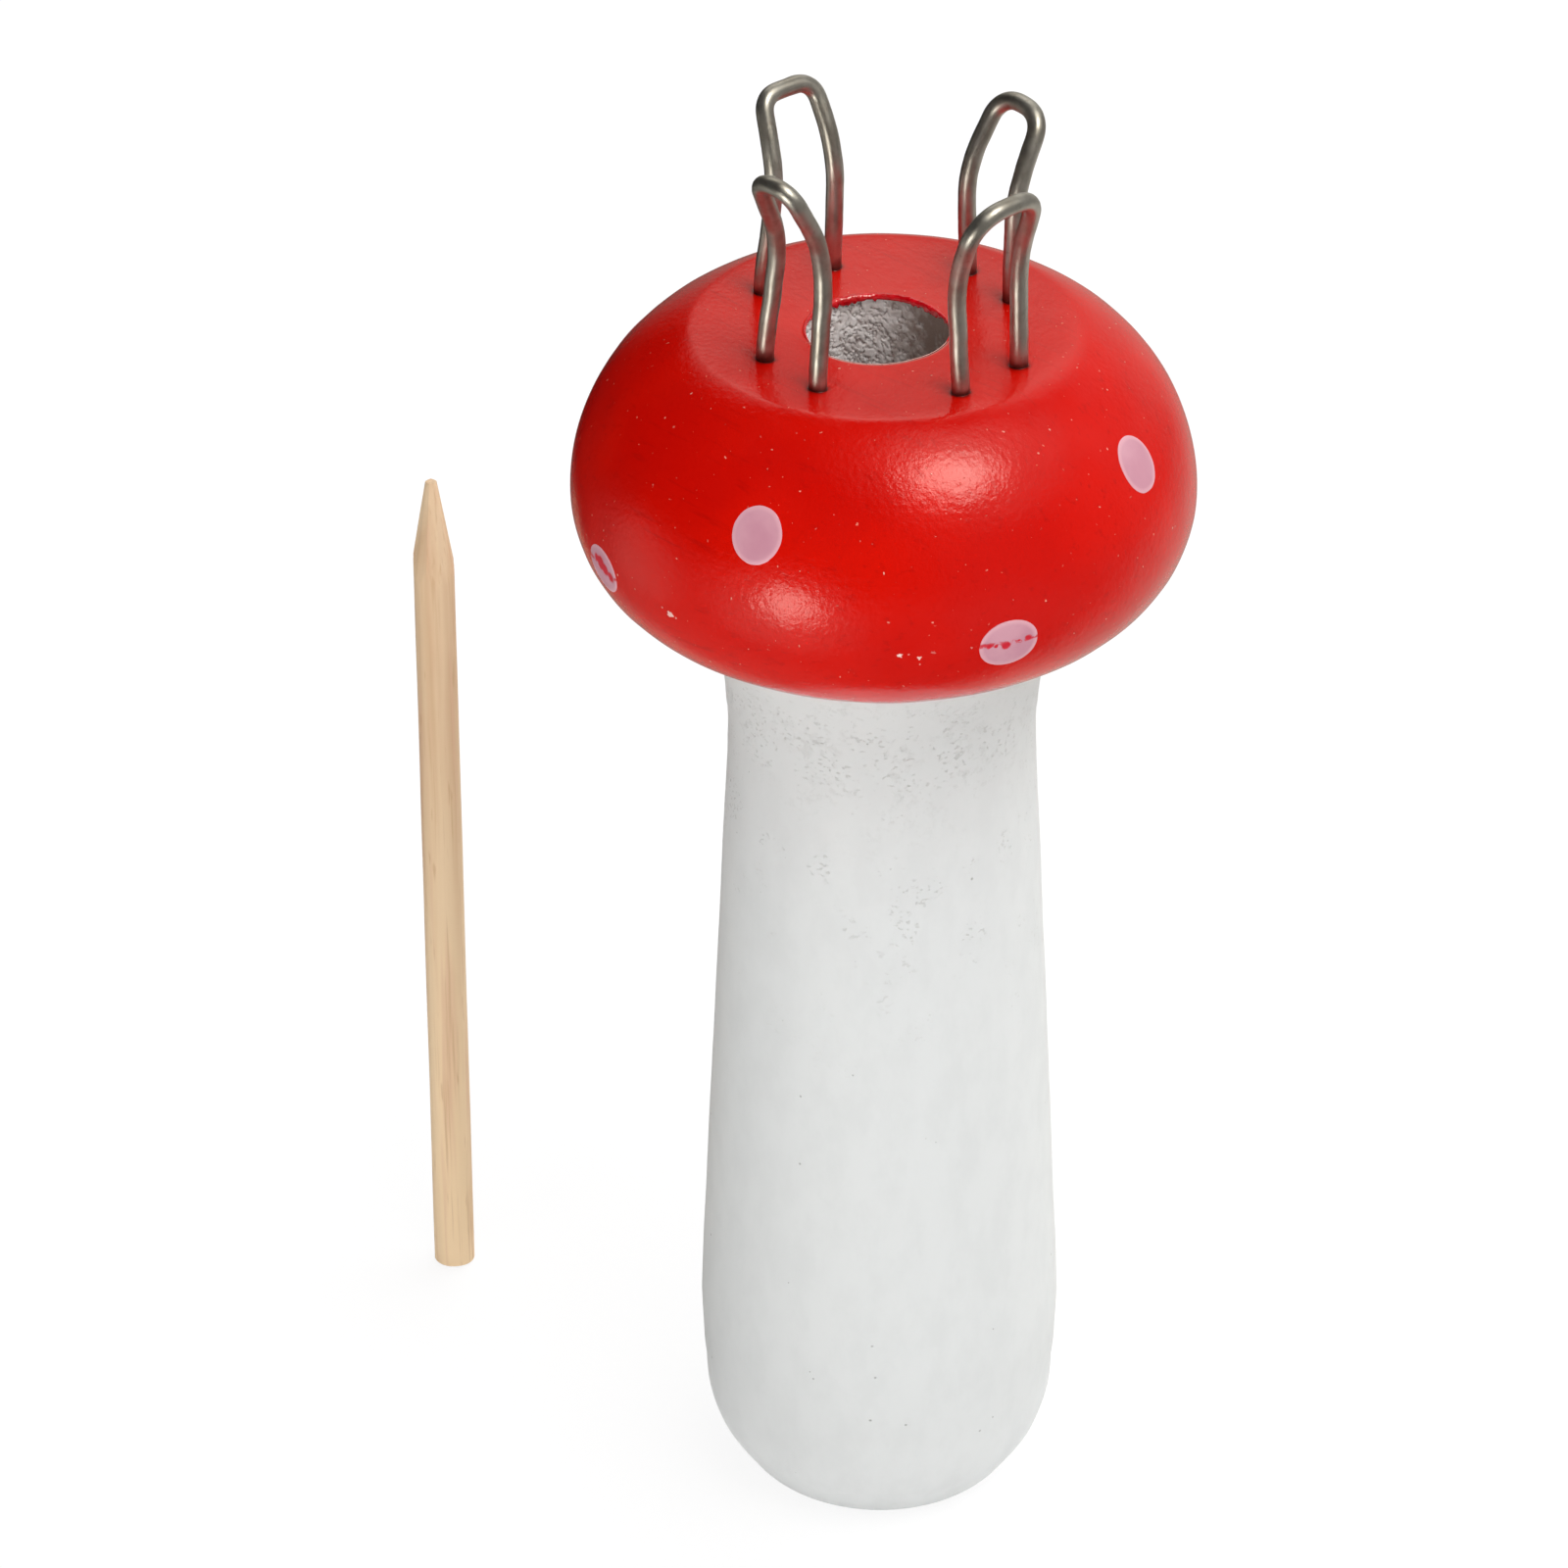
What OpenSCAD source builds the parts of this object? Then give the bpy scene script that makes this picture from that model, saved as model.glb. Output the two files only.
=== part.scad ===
// Knitting nancy: turned toadstool with four wire loops and a loose pointed stick.
// Millimetres, +Z up. The origin is on the axis of the hole, at the foot.

/* [Cap] */
// Widest diameter of the cap
cap_d = 55; // [50:0.5:62]
// Radius of the rounding above the widest line
cap_upper_r = 17.1; // [16.2:0.1:19]
// Height of the top edge above the widest line
cap_upper_h = 15.8; // [13:0.1:16]
// Radius of the rounding below the widest line
cap_lower_r = 10.3; // [8.5:0.1:12]
// Depth of the shallow dish in the top
dish_depth = 0.6; // [0.2:0.1:1.2]

/* [Stem] */
// Height of the stem from its foot to the underside of the cap
stem_h = 95.7; // [80:0.1:110]
// Widest diameter, just above the foot
stem_d = 33.7; // [31:0.1:38]
// Diameter of the flat ring that it stands on
foot_d = 20.8; // [17:0.1:24]
// Rounding of the foot's edge
foot_edge_r = 3.7; // [2:0.1:5]
// Radius of the swelling above the foot
belly_r = 19.7; // [17:0.1:24]
// Narrowest diameter, at the neck
neck_d = 27.4; // [24:0.1:29]
// Radius of the hollow curve at the neck
flare_r = 24.2; // [18:0.1:32]
// Height of the flare, from the neck to the underside of the cap
flare_h = 12.2; // [8:0.1:15]
// Diameter of the tenon that is glued into the cap
tenon_d = 19; // [17:0.5:21]
// Length of the tenon
tenon_l = 12; // [8:0.5:14]
// Diameter of the hole that the knitted cord runs through
bore_d = 12; // [9:0.1:13]

/* [Wire loops, in the order right, back, left, front] */
// Diameter of the steel wire
wire_d = 1.6; // [1.2:0.1:2]
// Turn of each loop from its quarter of the cap
loop_turn = [-1, -5, -4, 2]; // [-10:0.5:10]
// Radius at which each loop stands
loop_set_r = [13, 12, 11.6, 11.6]; // [11:0.1:13.5]
// Distance between the feet of each loop
foot_gap = [7, 6.4, 7.8, 7]; // [5.5:0.1:8.5]
// Turn of the line through the feet of each loop
foot_twist = [0, 4, 2, 6]; // [-8:0.5:8]
// Height of the knee of each loop above the cap
knee_h = [10.3, 10, 11.3, 11.5]; // [8:0.1:13]
// Distance between the knees of each loop
knee_gap = [7.4, 6.4, 6.8, 5.4]; // [5:0.1:8.5]
// How far the knees of each loop stand in from its feet
knee_in = [0.5, 0.1, 1.2, 1.4]; // [0:0.1:2]
// Length of each loop's arm, from the knee to the crown
arm_l = [7.8, 7.4, 7.2, 8.6]; // [6:0.1:10]
// Outward lean of each loop's arm from upright
arm_lean = [22, 30, 27, 28]; // [15:1:40]
// Width of each loop's crown, before its corners are rounded
crown_w = [7.2, 5.6, 5.8, 4]; // [3.4:0.1:8]
// How far each crown stands to one side
crown_shift = [-0.8, 0.2, -0.6, 0.6]; // [-1:0.1:1]
// Bend radius at the knees
knee_r = 6; // [3:0.5:7]
// Bend radius at the corners of the crown
crown_r = 2.2; // [1.6:0.1:3]
// Depth to which the wire is pressed into the cap
leg_depth = 9; // [5:0.5:9]

/* [Needle] */
// Diameter of the stick
needle_d = 4; // [3:0.1:6]
// Length of the stick with its point
needle_l = 90; // [70:1:120]
// Length of the point
point_l = 9; // [5:0.5:14]
// Diameter of the blunt end of the point
point_d = 1; // [0.8:0.1:2]
// Place where the stick stands, beside the cap
needle_at = [-50, -10.5]; // [-60:0.5:-9]

/* [Painted spots] */
// Diameter of a spot
spot_d = 5; // [3:0.1:6]
// Height of the lower row above the widest line
low_row_h = -1.2; // [-3:0.1:0]
// Height of the upper row above the widest line
high_row_h = 8.6; // [5:0.1:11]
// Directions of the spots in the lower row
low_row_at = [-106, -22, 70, 162]; // [-180:1:180]
// Directions of the spots in the upper row
high_row_at = [-70, 14, 106, 198]; // [-180:1:200]
// Thickness of the paint
paint_t = 0.1; // [0.05:0.01:0.3]

/* [Fits] */
// Glue gap round the tenon, on the radius
glue_gap = 0.1; // [0.05:0.01:0.2]
// Room beyond the end of the tenon and of each wire leg
end_gap = 0.3; // [0.1:0.1:0.5]
// Gap round a wire leg in its hole, on the radius
wire_gap = 0.05; // [0.02:0.01:0.1]

/* [Hidden] */
$fn = 96;

// Largest step along an arc of the stem's outline, in degrees
arc_step = 3;
// How far a cutting tool runs past a face
past = 1;
// Straight stretch of wire above the cap before a leg leans
straight_h = 1;
// Share of a stretch of wire that a bend may use up
bend_share = 0.48;
// Smallest change of direction that counts as a bend, in degrees
least_turn = 0.05;
// How much thinner the wire is in a bend, on the radius, and how far a bend reaches into the straights
bend_thin = 0.01;
bend_lap = 0.1;

cap_r = cap_d / 2;
stem_r = stem_d / 2;
foot_r = foot_d / 2;
neck_r = neck_d / 2;
bore_r = bore_d / 2;
tenon_r = tenon_d / 2;

// Heights of the cap's widest line and of its top edge
cap_mid_z = stem_h + cap_lower_r;
cap_top_z = cap_mid_z + cap_upper_h;
// Centres of the cap's two roundings, on the widest line
upper_c = [cap_r - cap_upper_r, cap_mid_z];
lower_c = [cap_r - cap_lower_r, cap_mid_z];
// Direction and radius of the cap's top edge
top_edge_a = asin(cap_upper_h / cap_upper_r);
top_edge_r = upper_c.x + cap_upper_r * cos(top_edge_a);

// Centres of the rounding of the foot and of the swelling above it, which touch from inside
edge_c = [foot_r, foot_edge_r];
belly_x = stem_r - belly_r;
belly_c = [belly_x, foot_edge_r + sqrt((belly_r - foot_edge_r) ^ 2 - (foot_r - belly_x) ^ 2)];
edge_end_a = -acos((foot_r - belly_x) / (belly_r - foot_edge_r));
// Centre of the hollow at the neck, and the straight side that touches it and the swelling
flare_c = [neck_r + flare_r, stem_h - flare_h];
between = flare_c - belly_c;
taper_a = atan2(between.y, between.x) - acos((belly_r + flare_r) / norm(between));

// Height of the dished top at a distance from the axis
function dish_z(r) = cap_top_z - dish_depth * (top_edge_r - r) / (top_edge_r - bore_r);

// Direction of a loop, and a point given outwards from, along and above its place on the cap
function loop_a(i) = 90 * i + loop_turn[i];
function loop_point(i, out, along, up) =
    let (a = loop_a(i), r = loop_set_r[i] + out)
    [r * cos(a) - along * sin(a), r * sin(a) + along * cos(a), dish_z(loop_set_r[i]) + up];

// Foot of a loop on one side, -1 or 1, at a height above the cap
function foot_point(i, side, up) =
    let (half = side * foot_gap[i] / 2)
    loop_point(i, half * sin(foot_twist[i]), half * cos(foot_twist[i]), up);

// One side of a loop from its buried end to the corner of its crown
function loop_side(i, side) = [
    foot_point(i, side, -leg_depth),
    foot_point(i, side, straight_h),
    loop_point(i, -knee_in[i], side * knee_gap[i] / 2, knee_h[i]),
    loop_point(i, arm_l[i] * sin(arm_lean[i]) - knee_in[i],
        crown_shift[i] + side * crown_w[i] / 2, knee_h[i] + arm_l[i] * cos(arm_lean[i]))
];

function unit(v) = v / norm(v);
// Change of direction at a corner of a path
function turn_at(p, i) = acos(min(1, unit(p[i] - p[i - 1]) * unit(p[i + 1] - p[i])));
// Distance from a corner to where its bend starts, with the bend kept within its stretches
function set_back(p, i, r) =
    i == 0 || i == len(p) - 1 ? 0
    : min(r * tan(turn_at(p, i) / 2), bend_share * min(norm(p[i] - p[i - 1]), norm(p[i + 1] - p[i])));

// Points along an arc from one direction to another
function arc(centre, r, a0, a1) =
    let (steps = ceil(abs(a1 - a0) / arc_step))
    [for (k = [0:steps]) let (a = a0 + (a1 - a0) * k / steps) centre + r * [cos(a), sin(a)]];

// Piece of a disc between two directions less than 120 degrees apart
module sector(centre, r, a0, a1) {
    mid = (a0 + a1) / 2;
    translate(centre)
        intersection() {
            circle(r);
            polygon([[0, 0], for (a = [a0, mid, a1]) 2 * r * [cos(a), sin(a)]]);
        }
}

// Band of paint thickness outside an arc
module paint_band(centre, r, a0, a1) {
    difference() {
        sector(centre, r + paint_t, a0, a1);
        translate(centre)
            circle(r);
    }
}

// Bend from upwards at the origin towards +X. The wire draws thinner there, and reaches into the straights
module bend(r, turn) {
    lap_a = bend_lap / r * 180 / PI;
    translate([r, 0, 0])
        rotate([90, 0, 180])
            rotate([0, 0, -lap_a])
                rotate_extrude(angle = turn + 2 * lap_a)
                    translate([r, 0])
                        circle(r = wire_d / 2 - bend_thin);
}

// Wire along a path from one of its points on, drawn upwards from the origin and bent towards across.
// It runs straight, bends at the next corner, and goes on in the turned frame
module bent_wire(p, bends, i, across) {
    way = unit(p[i + 1] - p[i]);
    straight = norm(p[i + 1] - p[i]) - set_back(p, i, bends[i]) - set_back(p, i + 1, bends[i + 1]);
    cylinder(d = wire_d, h = straight);
    if (i + 2 < len(p)) {
        next = unit(p[i + 2] - p[i + 1]);
        beside = cross(way, across);
        roll = atan2(next * beside, next * across);
        turn = turn_at(p, i + 1);
        inwards = across * cos(roll) + beside * sin(roll);
        r = turn > least_turn ? set_back(p, i + 1, bends[i + 1]) / tan(turn / 2) : 0;
        translate([0, 0, straight])
            rotate([0, 0, roll]) {
                if (r > 0)
                    bend(r, turn);
                translate([r, 0, 0])
                    rotate([0, turn, 0])
                        translate([-r, 0, 0])
                            bent_wire(p, bends, i + 1, inwards * cos(turn) - way * sin(turn));
            }
    }
}

// Outline of the stem from its hole outwards: foot, swelling, straight side, neck and tenon
module stem_section() {
    polygon(concat(
        [[bore_r, 0]],
        arc(edge_c, foot_edge_r, -90, edge_end_a),
        arc(belly_c, belly_r, edge_end_a, taper_a),
        arc(flare_c, flare_r, 180 + taper_a, 180 - asin(flare_h / flare_r)),
        [for (z = [stem_h, stem_h + tenon_l]) [tenon_r, z]],
        [[bore_r, stem_h + tenon_l]]
    ));
}

// Outline of the cap from the axis outwards, without its socket
module cap_section() {
    sector(upper_c, cap_upper_r, 0, top_edge_a);
    sector(lower_c, cap_lower_r, -90, 0);
    polygon([
        [0, stem_h], [lower_c.x, stem_h], lower_c, upper_c,
        [top_edge_r, cap_top_z], [bore_r, cap_top_z - dish_depth], [0, cap_top_z - dish_depth]
    ]);
}

// Cylinder that marks out one spot, square to the rounding that it lies on
module spot_core(centre, r, row_h, a) {
    rotate([0, 0, a])
        translate([centre.x, 0, centre.y])
            rotate([0, 90 - asin(row_h / r), 0])
                cylinder(d = spot_d, h = r + paint_t + past);
}

module stem() {
    color([0.88, 0.88, 0.86])
        rotate_extrude()
            stem_section();
}

module cap() {
    color([0.80, 0.07, 0.06])
        difference() {
            rotate_extrude()
                cap_section();
            translate([0, 0, stem_h - past])
                cylinder(r = bore_r, h = cap_top_z - stem_h + 2 * past);
            translate([0, 0, stem_h - past])
                cylinder(r = tenon_r + glue_gap, h = tenon_l + end_gap + past);
            for (i = [0:3], side = [-1, 1])
                translate(foot_point(i, side, -leg_depth - end_gap))
                    cylinder(r = wire_d / 2 + wire_gap, h = leg_depth + end_gap + past);
        }
}

module wire_loop(i) {
    there = loop_side(i, -1);
    back_again = loop_side(i, 1);
    path = concat(there, [for (k = [len(back_again) - 1:-1:0]) back_again[k]]);
    color([0.55, 0.52, 0.47])
        translate(path[0])
            bent_wire(path, [0, knee_r, knee_r, crown_r, crown_r, knee_r, knee_r, 0], 0, [1, 0, 0]);
}

module cap_spots() {
    color([0.87, 0.66, 0.71])
        intersection() {
            rotate_extrude() {
                paint_band(upper_c, cap_upper_r, 0, top_edge_a);
                paint_band(lower_c, cap_lower_r, -90, 0);
            }
            union() {
                for (a = low_row_at)
                    spot_core(lower_c, cap_lower_r, low_row_h, a);
                for (a = high_row_at)
                    spot_core(upper_c, cap_upper_r, high_row_h, a);
            }
        }
}

module needle() {
    color([0.80, 0.65, 0.46])
        translate([needle_at.x, needle_at.y, 0]) {
            cylinder(d = needle_d, h = needle_l - point_l);
            translate([0, 0, needle_l - point_l])
                cylinder(d1 = needle_d, d2 = point_d, h = point_l);
        }
}

stem();
cap();
wire_loop(0);  // loop_right
wire_loop(1);  // loop_back
wire_loop(2);  // loop_left
wire_loop(3);  // loop_front
cap_spots();
needle();
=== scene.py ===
import math

import bpy
import numpy as np
from mathutils import Matrix, Vector, noise


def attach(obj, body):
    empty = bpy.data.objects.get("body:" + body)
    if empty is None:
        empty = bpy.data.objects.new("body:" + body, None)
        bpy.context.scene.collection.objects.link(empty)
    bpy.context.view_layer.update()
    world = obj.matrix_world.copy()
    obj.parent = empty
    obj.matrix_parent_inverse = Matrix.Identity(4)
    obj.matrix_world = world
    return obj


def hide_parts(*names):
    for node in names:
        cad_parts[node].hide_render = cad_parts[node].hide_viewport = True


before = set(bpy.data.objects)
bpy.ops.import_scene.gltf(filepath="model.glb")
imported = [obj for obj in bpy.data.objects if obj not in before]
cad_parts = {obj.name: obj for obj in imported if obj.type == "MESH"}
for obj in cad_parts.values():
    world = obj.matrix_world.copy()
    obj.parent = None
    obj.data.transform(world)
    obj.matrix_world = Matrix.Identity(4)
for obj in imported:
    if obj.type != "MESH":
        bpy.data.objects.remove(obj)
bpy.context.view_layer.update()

MM = 0.001
FULL_TURN = 2 * math.pi
scene = bpy.context.scene

# Sizes in millimetres, the same as in the part's source
CAP_R, CAP_UPPER_R, CAP_UPPER_H, CAP_LOWER_R, DISH_DEPTH = 27.5, 17.1, 15.8, 10.3, 0.6
STEM_H, STEM_R, FOOT_R, FOOT_EDGE_R, BELLY_R = 95.7, 16.85, 10.4, 3.7, 19.7
NECK_R, FLARE_R, FLARE_H, TENON_R, TENON_L, BORE_R = 13.7, 24.2, 12.2, 9.5, 12.0, 6.0
SOCKET_R, SOCKET_TOP = 9.6, 108.0
WIRE_R, KNEE_R, LEG_DEPTH, STRAIGHT_H = 0.8, 6.0, 9.0, 1.0
NEEDLE_R, NEEDLE_L, POINT_L, POINT_R = 2.0, 90.0, 9.0, 0.5
NEEDLE_AT = (-50.0, -10.5)
SPOT_R = 2.5
LOW_ROW_H, LOW_ROW_AT = -1.2, (-106, -22, 70, 162)
HIGH_ROW_H, HIGH_ROW_AT = 8.6, (-70, 14, 106, 198)
LOOPS = {
    "loop_right": dict(turn=-1, set_r=13.0, foot_gap=7.0, twist=0, knee_h=10.3, knee_gap=7.4,
                       knee_in=0.5, arm=7.8, lean=22, crown_w=7.2, shift=-0.8, crown_r=2.8),
    "loop_back": dict(turn=85, set_r=12.0, foot_gap=6.4, twist=4, knee_h=10.0, knee_gap=6.4,
                      knee_in=0.1, arm=7.4, lean=30, crown_w=5.6, shift=0.2, crown_r=2.3),
    "loop_left": dict(turn=176, set_r=11.6, foot_gap=7.8, twist=2, knee_h=11.3, knee_gap=6.8,
                      knee_in=1.2, arm=7.2, lean=27, crown_w=5.8, shift=-0.6, crown_r=1.8),
    "loop_front": dict(turn=272, set_r=11.6, foot_gap=7.0, twist=6, knee_h=11.5, knee_gap=5.4,
                       knee_in=1.4, arm=8.6, lean=28, crown_w=4.0, shift=0.6, crown_r=2.2),
}

CAP_MID_Z = STEM_H + CAP_LOWER_R
CAP_TOP_Z = CAP_MID_Z + CAP_UPPER_H
UPPER_C, LOWER_C = CAP_R - CAP_UPPER_R, CAP_R - CAP_LOWER_R
TOP_EDGE_A = math.degrees(math.asin(CAP_UPPER_H / CAP_UPPER_R))
TOP_EDGE_R = UPPER_C + CAP_UPPER_R * math.cos(math.radians(TOP_EDGE_A))
RIM_Z = CAP_TOP_Z - DISH_DEPTH

# Depth of the cap's own edge at the mouth of the hole, and radius where the wall of the hole begins
SKIN = 0.35
WALL_R = BORE_R + 1.6

# The photograph looks at the model from between its +X and -Y sides
PHOTO_TURN = math.radians(45)
# Azimuths as the photograph shows them, with 0 towards the camera
LEFT, RIGHT, BEHIND = -90, 90, 180

# Angles of the camera in degrees, its lens in millimetres, and its place behind and above the foot
CAMERA_YAW, CAMERA_PITCH, CAMERA_ROLL = -1.058, 32.438, 0.264
CAMERA_LENS, CAMERA_SENSOR, CAMERA_NEAR = 144.04, 36.0, 0.02
CAMERA_BACK, CAMERA_UP = 479.687, 379.508


def dish_z(r):
    return CAP_TOP_Z - DISH_DEPTH * (TOP_EDGE_R - r) / (TOP_EDGE_R - BORE_R)


def from_photo(x, y, z):
    """A vector given as right, away and up in the photograph, in the model's frame."""
    c, s = math.cos(PHOTO_TURN), math.sin(PHOTO_TURN)
    return Vector((c * x - s * y, s * x + c * y, z))


def sky(azimuth, elevation):
    """Direction seen from the cap: azimuth 0 is towards the camera and positive to its right."""
    a, e = math.radians(azimuth), math.radians(elevation)
    return from_photo(math.sin(a) * math.cos(e), -math.cos(a) * math.cos(e), math.sin(e))


def add_object(name, data):
    thing = bpy.data.objects.new(name, data)
    scene.collection.objects.link(thing)
    return thing


def add_camera():
    yaw, pitch, roll = (math.radians(a) for a in (CAMERA_YAW, CAMERA_PITCH, CAMERA_ROLL))
    level = math.cos(pitch)
    ahead = from_photo(math.sin(yaw) * level, math.cos(yaw) * level, -math.sin(pitch))
    right = from_photo(math.cos(yaw), -math.sin(yaw), 0)
    up = right.cross(ahead)
    c, s = math.cos(roll), math.sin(roll)
    right, up = c * right - s * up, s * right + c * up
    data = bpy.data.cameras.new("camera")
    data.lens, data.sensor_width, data.clip_start = CAMERA_LENS, CAMERA_SENSOR, CAMERA_NEAR
    camera = add_object("camera", data)
    camera.matrix_world = Matrix((right, up, -ahead)).transposed().to_4x4()
    camera.location = from_photo(0, -CAMERA_BACK * MM, CAMERA_UP * MM)
    scene.camera = camera


# Nodes

# How far places are pushed about at most along each axis, in millimetres
PUSH = 0.4


class Nodes:
    """The nodes of a material or of the world, with short ways to add to them."""

    def __init__(self, tree, space="Object"):
        self.tree = tree
        tree.nodes.clear()
        self.at = self.make("TexCoord").outputs[space]

    def make(self, kind, inputs=None, **settings):
        node = self.tree.nodes.new("ShaderNode" + kind)
        for key, value in settings.items():
            setattr(node, key, value)
        for key, value in (inputs or {}).items():
            if isinstance(value, bpy.types.NodeSocket):
                self.tree.links.new(value, node.inputs[key])
            else:
                node.inputs[key].default_value = value
        return node

    def math(self, operation, a, b=0.0):
        return self.make("Math", {0: a, 1: b}, operation=operation).outputs[0]

    def times(self, value, *others):
        for other in others:
            value = self.math("MULTIPLY", value, other)
        return value

    def most(self, a, b):
        return self.math("MAXIMUM", a, b)

    def inverse(self, value):
        return self.math("SUBTRACT", 1.0, value)

    def measure(self, operation, *vectors):
        """A number made from one or two vectors."""
        return self.make("VectorMath", dict(enumerate(vectors)), operation=operation).outputs["Value"]

    def between(self, value, low, high, to_low=0.0, to_high=1.0):
        """A smooth step while the value goes from low to high."""
        return self.make("MapRange", {"Value": value, "From Min": low, "From Max": high, "To Min": to_low,
                                      "To Max": to_high}, interpolation_type="SMOOTHSTEP").outputs[0]

    def mix(self, share, a, b):
        return self.make("Mix", {0: share, 6: a, 7: b}, data_type="RGBA").outputs[2]

    def grain(self, scale, detail=3.0, roughness=0.5, turn=0.0):
        """Cloudy noise. A scale of three numbers stretches it, and turn swings it about Z."""
        vector = self.at
        if isinstance(scale, tuple):
            vector = self.make("Mapping", {"Vector": vector, "Rotation": (0, 0, turn), "Scale": scale}).outputs[0]
            scale = 1
        return self.make("TexNoise", {"Vector": vector, "Scale": scale, "Detail": detail,
                                      "Roughness": roughness}).outputs[0]

    def uneven(self, cloud, low, high):
        """A roughness that wanders between two values."""
        return self.between(cloud, 0.3, 0.7, low, high)

    def pushed(self, scale, detail):
        """Places pushed about at random, by half of PUSH along each axis on average."""
        drift = self.make("TexNoise", {"Vector": self.at, "Scale": scale, "Detail": detail}).outputs["Color"]
        return self.make("VectorMath", {0: drift, 1: (PUSH * MM,) * 3, 2: self.at},
                         operation="MULTIPLY_ADD").outputs[0]

    def cells(self, vector, scale):
        """Distance to the nearest of many scattered points, and three random values of that point."""
        node = self.make("TexVoronoi", {"Vector": vector, "Scale": scale})
        values = self.make("SeparateColor", {0: node.outputs["Color"]}).outputs
        return node.outputs["Distance"], values[0], values[1], values[2]

    def dot(self, distance, size):
        """A round dot of that size, full in its inner half."""
        return self.make("MapRange", {"Value": self.math("DIVIDE", distance, size), "From Min": 0.5,
                                      "From Max": 1.0, "To Min": 1.0, "To Max": 0.0}).outputs[0]

    def bump(self, height, depth, strength, normal=None):
        """Relief of a depth in millimetres, over the relief that the normal has already."""
        inputs = {"Strength": strength, "Distance": depth * MM, "Height": height}
        if normal is not None:
            inputs["Normal"] = normal
        return self.make("Bump", inputs).outputs[0]

    def height(self):
        return self.make("SeparateXYZ", {0: self.at}).outputs[2]

    def value(self, name):
        """A value that the points of the mesh carry."""
        return self.make("Attribute", attribute_name=name).outputs["Fac"]

    def seen_rays(self):
        """1 for what the camera or a reflection sees, and 0 for light that falls on the object."""
        path = self.make("LightPath").outputs
        reflected = self.most(path["Is Glossy Ray"], path["Is Transmission Ray"])
        return self.most(path["Is Camera Ray"], reflected)

    def surface(self, colour, roughness, normal, others=None):
        sockets = {"Base Color": colour, "Roughness": roughness, "Normal": normal}
        self.end(self.make("BsdfPrincipled", {**sockets, **(others or {})}))

    def end(self, shader, kind="OutputMaterial"):
        self.tree.links.new(shader.outputs[0], self.make(kind).inputs["Surface"])


def new_material(name):
    material = bpy.data.materials.new(name)
    material.use_nodes = True
    return material, Nodes(material.node_tree)


def rgb(r, g, b):
    """A colour written in screen values from 0 to 255."""
    def linear(v):
        v /= 255
        return v / 12.92 if v <= 0.04045 else ((v + 0.055) / 1.055) ** 2.4
    return (linear(r), linear(g), linear(b), 1.0)


# Materials

PALE_RIM_COLOUR = rgb(240, 196, 184)


def red_lacquer():
    material, n = new_material("red_lacquer")
    colour = n.mix(n.between(n.grain(70, 2), 0.35, 0.65), rgb(200, 10, 2), rgb(211, 15, 3))
    strokes = n.grain((60, 1500, 1500), 3, 0.6, -PHOTO_TURN)
    colour = n.mix(n.between(strokes, 0.56, 0.74, 0, 0.40), colour, rgb(168, 8, 4))
    # Specks of dust in the lacquer, uneven in shape and mostly small and faint
    distance, chance, strong, tint = n.cells(n.pushed(2600, 1.0), 1200)
    speck = n.dot(distance, n.between(n.math("POWER", chance, 1.6), 0.0, 1.0, 0.035, 0.15))
    pale = n.times(speck, n.between(strong, 0.0, 1.0, 0.15, 0.9))
    colour = n.mix(pale, colour, n.mix(tint, rgb(240, 110, 84), rgb(248, 190, 170)))
    # Dark stain round each leg of wire, and the painted shadows of the legs
    colour = n.mix(n.value("stain_and_shadow"), colour, rgb(58, 14, 12))
    colour = n.mix(n.value("pale_rim"), colour, PALE_RIM_COLOUR)
    peel, lathe_lines = n.grain(1800, 3, 0.6), n.grain((160, 160, 3200), 2, 0.5)
    normal = n.bump(peel, 0.06, 0.75)
    normal = n.bump(lathe_lines, 0.02, 0.35, normal)
    normal = n.bump(speck, 0.06, 0.7, normal)
    n.surface(colour, n.uneven(n.grain(260), 0.12, 0.18), normal, {"Specular IOR Level": 0.36})
    return material


def wet_lacquer():
    """The thick glossy roll of lacquer at the mouth of the hole, pale along its front."""
    material, n = new_material("wet_lacquer")
    colour = n.mix(n.between(n.grain(900, 2), 0.35, 0.65), rgb(198, 5, 18), rgb(224, 10, 28))
    colour = n.mix(n.value("pale_rim"), colour, PALE_RIM_COLOUR)
    normal = n.bump(n.grain(2400, 2), 0.14, 0.9)
    n.surface(colour, n.uneven(n.grain(1200, 2), 0.05, 0.08), normal, {"Specular IOR Level": 1.0})
    return material


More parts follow.
